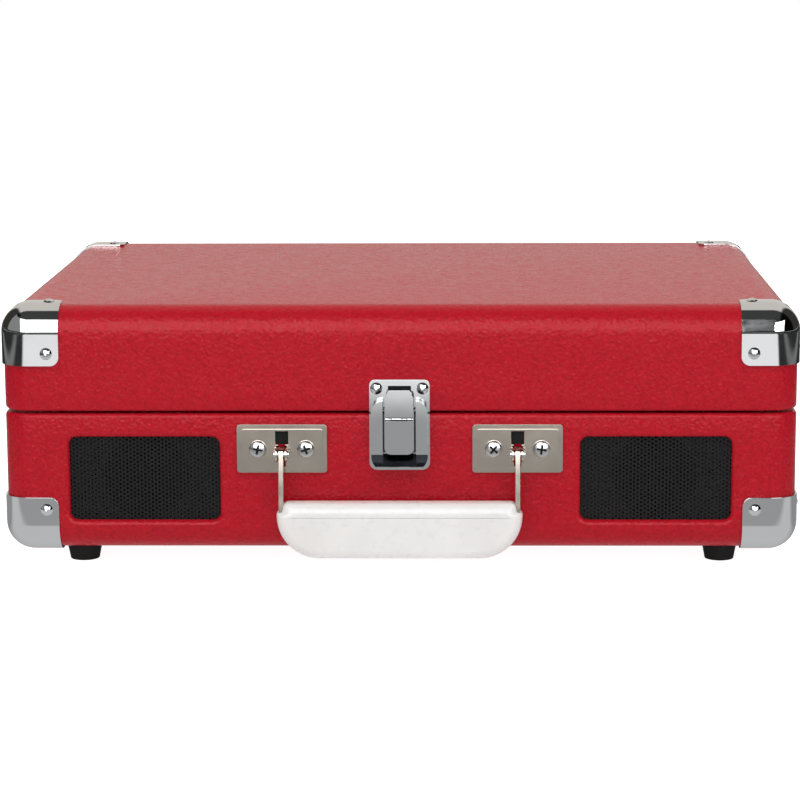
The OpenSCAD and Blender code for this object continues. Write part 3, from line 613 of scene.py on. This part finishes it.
# ---------- handle ----------
def grip_outline(inset):
    """Outline in X and Z: lowered ends that take the straps, and big round lower corners."""
    low, high = lo_hi("handle_grip")
    cx = (low.x + high.x) / 2
    half = (high.x - low.x) / 2 - inset
    top = high.z - inset
    end = high.z - 4.4 * MM - 0.25 * inset
    bottom = low.z + inset
    r = 19 * MM - inset
    step = 2.3 * MM
    right = []
    for k in range(1, 7):
        right.append(((half - r) * k / 6, bottom))
    for k in range(1, 15):
        a = math.radians(270 + 90 * k / 14)
        right.append((half - r + r * math.cos(a), bottom + r + r * math.sin(a)))
    right.append((half, end - 0.5 * MM))
    right.append((half - 0.5 * MM, end))
    right.append((half - step, end + 0.4 * MM))
    right.append((half - step - 0.5 * MM, top - 1.6 * MM))
    right.append((half - step - 1.3 * MM, top - 0.4 * MM))
    right.append((half - step - 2.6 * MM, top))
    for k in range(5, -1, -1):
        right.append(((half - step - 2.6 * MM) * k / 6, top))
    left = [(-x, z) for x, z in right[-2::-1]]
    return [(cx + x, z) for x, z in right + left + [(0, bottom)]]


def add_grip():
    low, high = lo_hi("handle_grip")
    round_r = 4.5 * MM
    front = [(round_r * (1 - s), low.y + round_r * (1 - c)) for s, c in quarter(8)]
    back = [(inset, high.y - (y - low.y)) for inset, y in front[::-1]]
    bm = bmesh.new()
    loft(bm, [[(x, y, z) for x, z in grip_outline(inset)] for inset, y in front + back])
    new_piece("grip", bm, "handle", ["white_plastic"], ["handle_grip"], 60)


def add_pan_screws():
    """Domed heads with a cross recess, one pair for each handle plate."""
    low, high = lo_hi("handle_screws")
    head_r = 3.9 * MM
    plates = [lo_hi(n) for n in ("handle_plate_left", "handle_plate_right")]
    plate_x = [(a.x + b.x) / 2 for a, b in plates]
    gap = high.x - head_r - plate_x[1]
    z = (low.z + high.z) / 2
    places = []
    for x, turns in zip(plate_x, ((12, -20), (40, 8))):
        places += [(x - gap, turns[0]), (x + gap, turns[1])]
    shank_r = 1.6 * MM
    tip_r = 0.1 * MM
    dome = 1.7 * MM
    seat_y = low.y + 2.2 * MM
    profile = [(shank_r, high.y), (shank_r, seat_y), (head_r, seat_y)]
    profile += [(head_r * c + tip_r * s, low.y + dome * (1 - s)) for s, c in quarter(8)]
    bm = bmesh.new()
    angles = [math.radians(360 * k / 32) for k in range(32)]
    for x, turn in places:
        loft(bm, [[(x + r * math.cos(a), y, z + r * math.sin(a)) for a in angles] for r, y in profile])
    piece = new_piece("pan_screws", bm, BODY_OF["handle_screws"],
                      [SLOT_OF["handle_screws"]], ["handle_screws"], 50)
    slot_size = Matrix.Diagonal((4.4 * MM, 2.6 * MM, 1.0 * MM, 1))
    for arm in (0, 90):
        bm = bmesh.new()
        for x, turn in places:
            spin = Matrix.Translation((x, low.y, z)) @ Matrix.Rotation(math.radians(turn + arm), 4, "Y")
            bmesh.ops.create_cube(bm, size=1, matrix=spin @ slot_size)
        carve(piece, bm)
    shade(piece, 50)

    # Painted shade: the faces inside the recess get a dark rubber material in place of the shade they lie in.
    recess_r = 2.35 * MM
    recess_front = low.y + 0.45 * MM
    recess_back = low.y + 1.6 * MM
    piece.data.materials.append(MATS["black_rubber"])
    for face in piece.data.polygons:
        c = face.center
        near = min(math.hypot(c.x - x, c.z - z) for x, turn in places)
        if near < recess_r and recess_front < c.y < recess_back:
            face.material_index = 1


def add_painted_shade_slot_backs():
    """Painted shade: a dark sheet behind the strap slot of each handle plate and behind the slot of the
    keeper, standing in for the shade inside the slots.
    """
    back_y, front_y = -0.02, -0.18
    corner_r = 0.5
    strap_slot = (15.7, 5.6, 5.9)
    slots = [
        ("handle_plate_left", *strap_slot),
        ("handle_plate_right", *strap_slot),
        ("latch_keeper", 10.3, 9.8, 2.6),
    ]
    for node, up, width, height in slots:
        low, high = lo_hi(node)
        bm = bmesh.new()
        ring = ring_points((low.x + high.x) / 2, low.z + up * MM, width / 2 * MM, height / 2 * MM,
                           corner_r * MM)
        loft(bm, [[(x, Y_FRONT + y * MM, z) for x, z in ring] for y in (front_y, back_y)])
        new_piece("painted_shade_slot_back_" + node, bm, BODY_OF[node], ["black_rubber"])


def paint_latch_shade(piece, node):
    """Paints shade with a dark steel: on the ledge, in the channel and on the sides of the moving parts,
    which lie in the shade of the rails, and on the rail tops, painted dark to dim their reflection.
    """
    low, high = lo_hi(node)
    behind_front = low.y + 0.3 * MM
    ledge_top = low.z + 8.2 * MM
    channel_foot = low.z + 7.6 * MM
    channel_half = 7.4 * MM
    rail_tops = high.z - 5.4 * MM
    # Painted shade: a dark copy of the steel, given to faces picked by place and facing.
    piece.data.materials.append(MATS["painted_shade_steel"])
    for face in piece.data.polygons:
        c = face.center
        n = face.normal
        if node == "latch_base":
            ledge = n.z > 0.3 and n.y < -0.3 and c.z < ledge_top
            channel = abs(c.x) < channel_half and c.y > behind_front and c.z > channel_foot
            # Painted reflection: the rail tops get the dark steel to dim what they reflect.
            top = n.z > 0.25 and abs(n.y) < 0.5 and c.z > rail_tops
            shaded = ledge or channel or top
        else:
            shaded = n.y < 0.5 and c.y > behind_front
        if shaded:
            face.material_index = 1


# ---------- build ----------
add_camera()
add_stage()
base = case_half("case_base", "base_box", "case", base_lo.z, base_hi.z - SEAM, True)
case_half("case_lid", "lid_shell", "lid", lid_lo.z + SEAM, lid_hi.z, False)
centres = []
for node, name in (("grille_left", "mesh_left"), ("grille_right", "mesh_right")):
    low, high = lo_hi(node)
    centres.append(((low.x + high.x) / 2, (low.z + high.z) / 2))
    mesh_grille(node, name)
cut_windows(base, centres)
add_grip()
add_pan_screws()
# Dark sheets behind the slots, as painted shade.
add_painted_shade_slot_backs()

# The latch parts that get painted shade.
PAINTED_SHADE_NODES = ["latch_base", "latch_lever", "latch_link"]
# Rounding of the edges in millimetres, and the CAD nodes that get it.
SOFT = {
    0.35: [half + "_corner_" + place for half in ("base", "lid") for place in ("fl", "fr", "bl", "br")],
    0.2: PAINTED_SHADE_NODES + ["latch_keeper"],
    0.3: [
        "handle_plate_left", "handle_plate_right", "handle_straps",
        "hinge_base_leaves", "hinge_lid_leaves",
    ],
    0.25: [
        "volume_knob", "speed_switch", "autostop_switch", "cue_lever", "cue_platform", "rest_clip",
        "tonearm_yoke", "tonearm_base", "tonearm_rest", "cartridge", "tonearm_tube",
        "platter", "platter_mat", "adapter_45", "feet",
    ],
}
for width, nodes in SOFT.items():
    for node in nodes:
        piece = softened(node, width * MM)
        # The latch parts also get their painted shade.
        if node in PAINTED_SHADE_NODES:
            paint_latch_shade(piece, node)
rebuilt = {"base_box", "lid_shell", "grille_left", "grille_right", "handle_grip", "handle_screws"}
replaced = set(sum(SOFT.values(), [])) | rebuilt
for node, obj in frame["nodes"].items():
    if node not in replaced:
        for slot in obj.material_slots:
            slot.material = MATS[SLOT_OF[node]]
